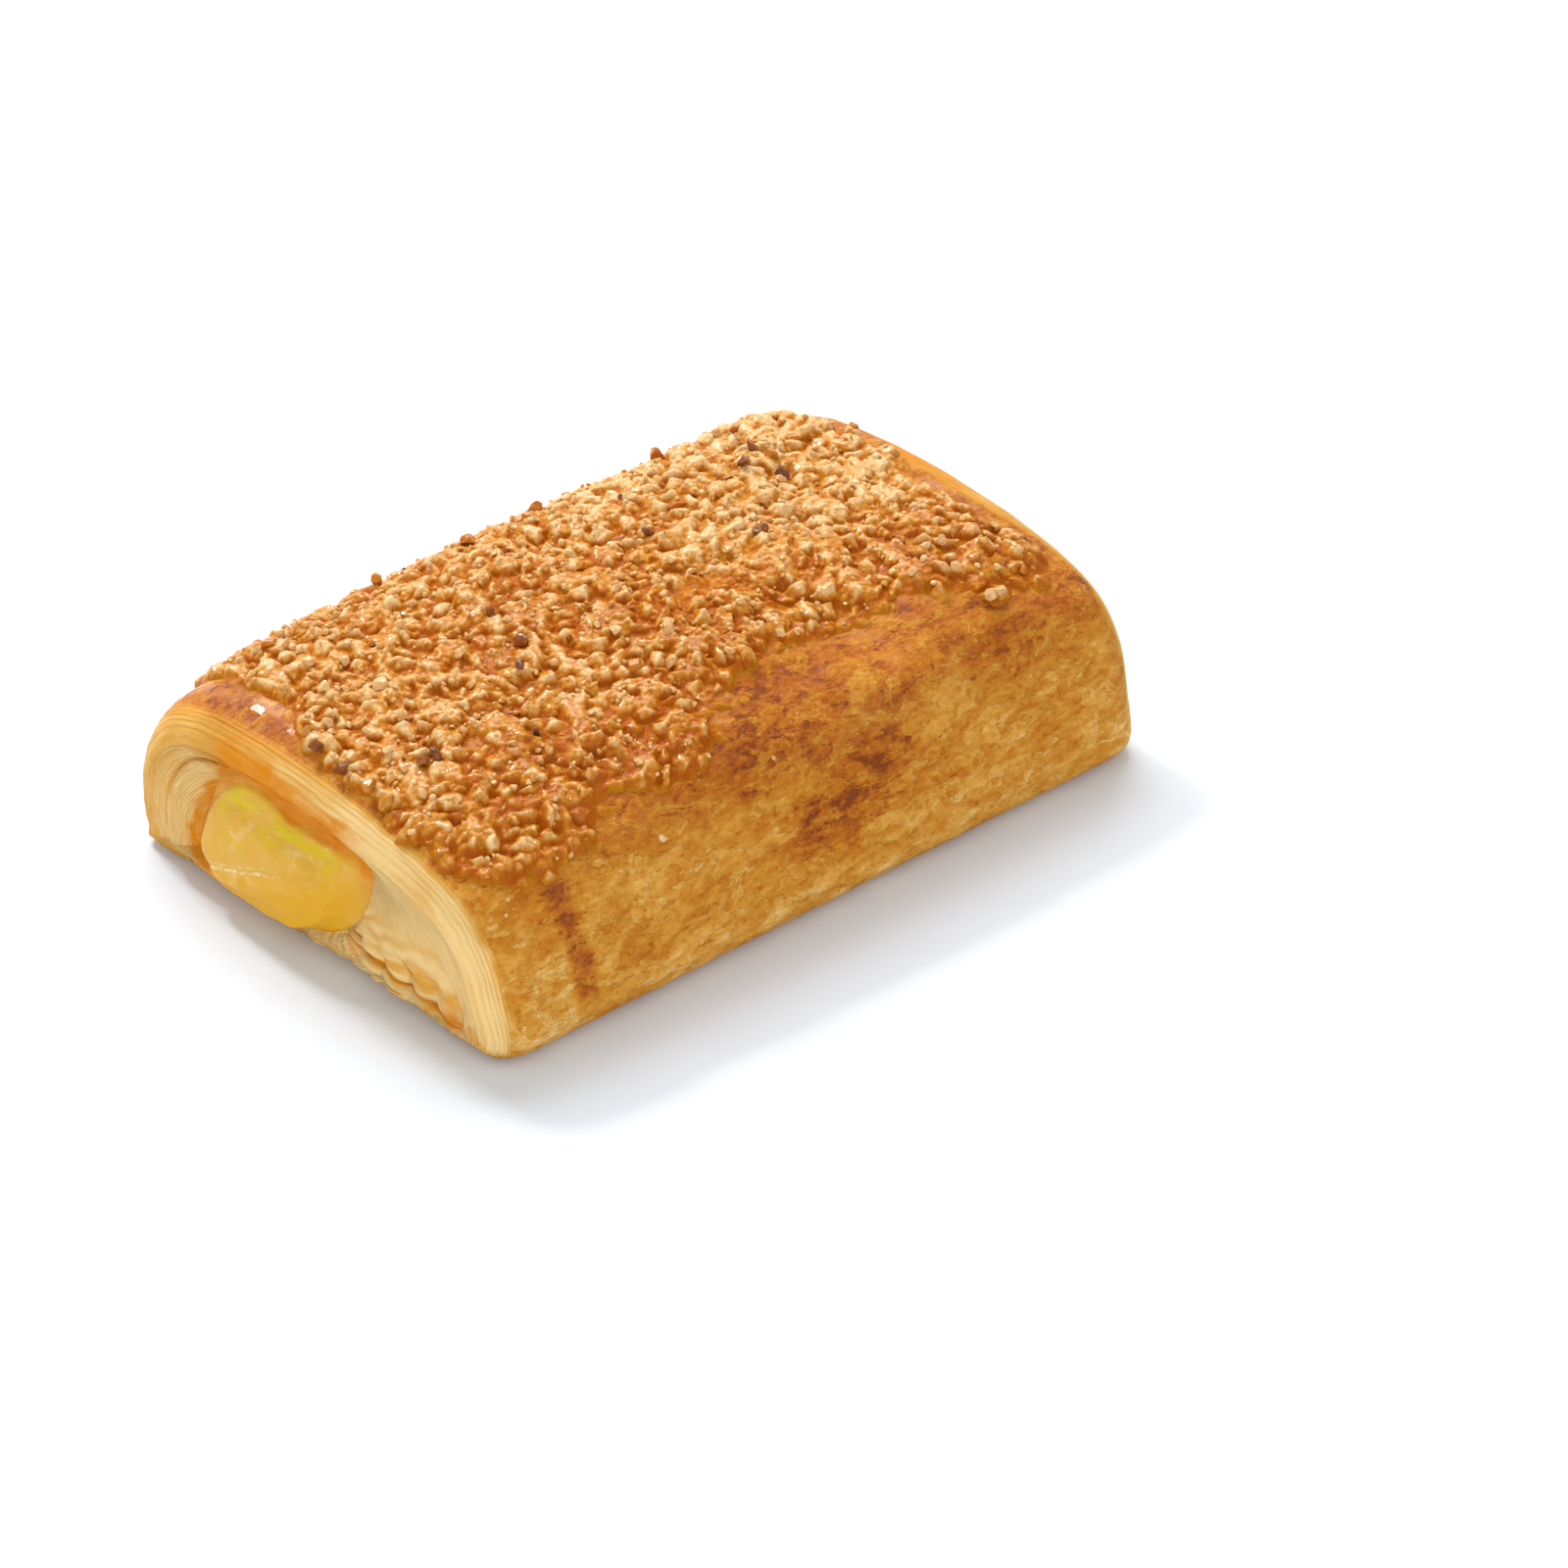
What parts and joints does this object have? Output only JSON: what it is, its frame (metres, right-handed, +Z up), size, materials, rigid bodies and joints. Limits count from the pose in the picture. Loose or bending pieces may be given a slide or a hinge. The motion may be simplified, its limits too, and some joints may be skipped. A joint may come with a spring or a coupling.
{
  "type": "cream napolitana pastry",
  "caption": "Flat parcel of flaky baked dough round a bar of custard cream that bulges out of both ends, topped with a crumble of chopped nuts and sugar.",
  "frame": {"origin": "on the surface the pastry rests on, under the middle of its whole box", "axes": "+Z up, +X along the pastry from the open left end that the picture shows to the hidden right end, -Y towards the front side"},
  "size_m": [0.1492, 0.0911, 0.0381],
  "materials": {
    "baked_dough": "golden baked crust, glazed, with pale flaky layers at the ends and a glossy nut and sugar crumble on top",
    "custard_cream": "smooth pale yellow baked custard with a soft sheen"
  },
  "bodies": {
    "root": {"pastry_dough": "baked_dough", "cream_filling": "custard_cream"}
  },
  "joints": []
}
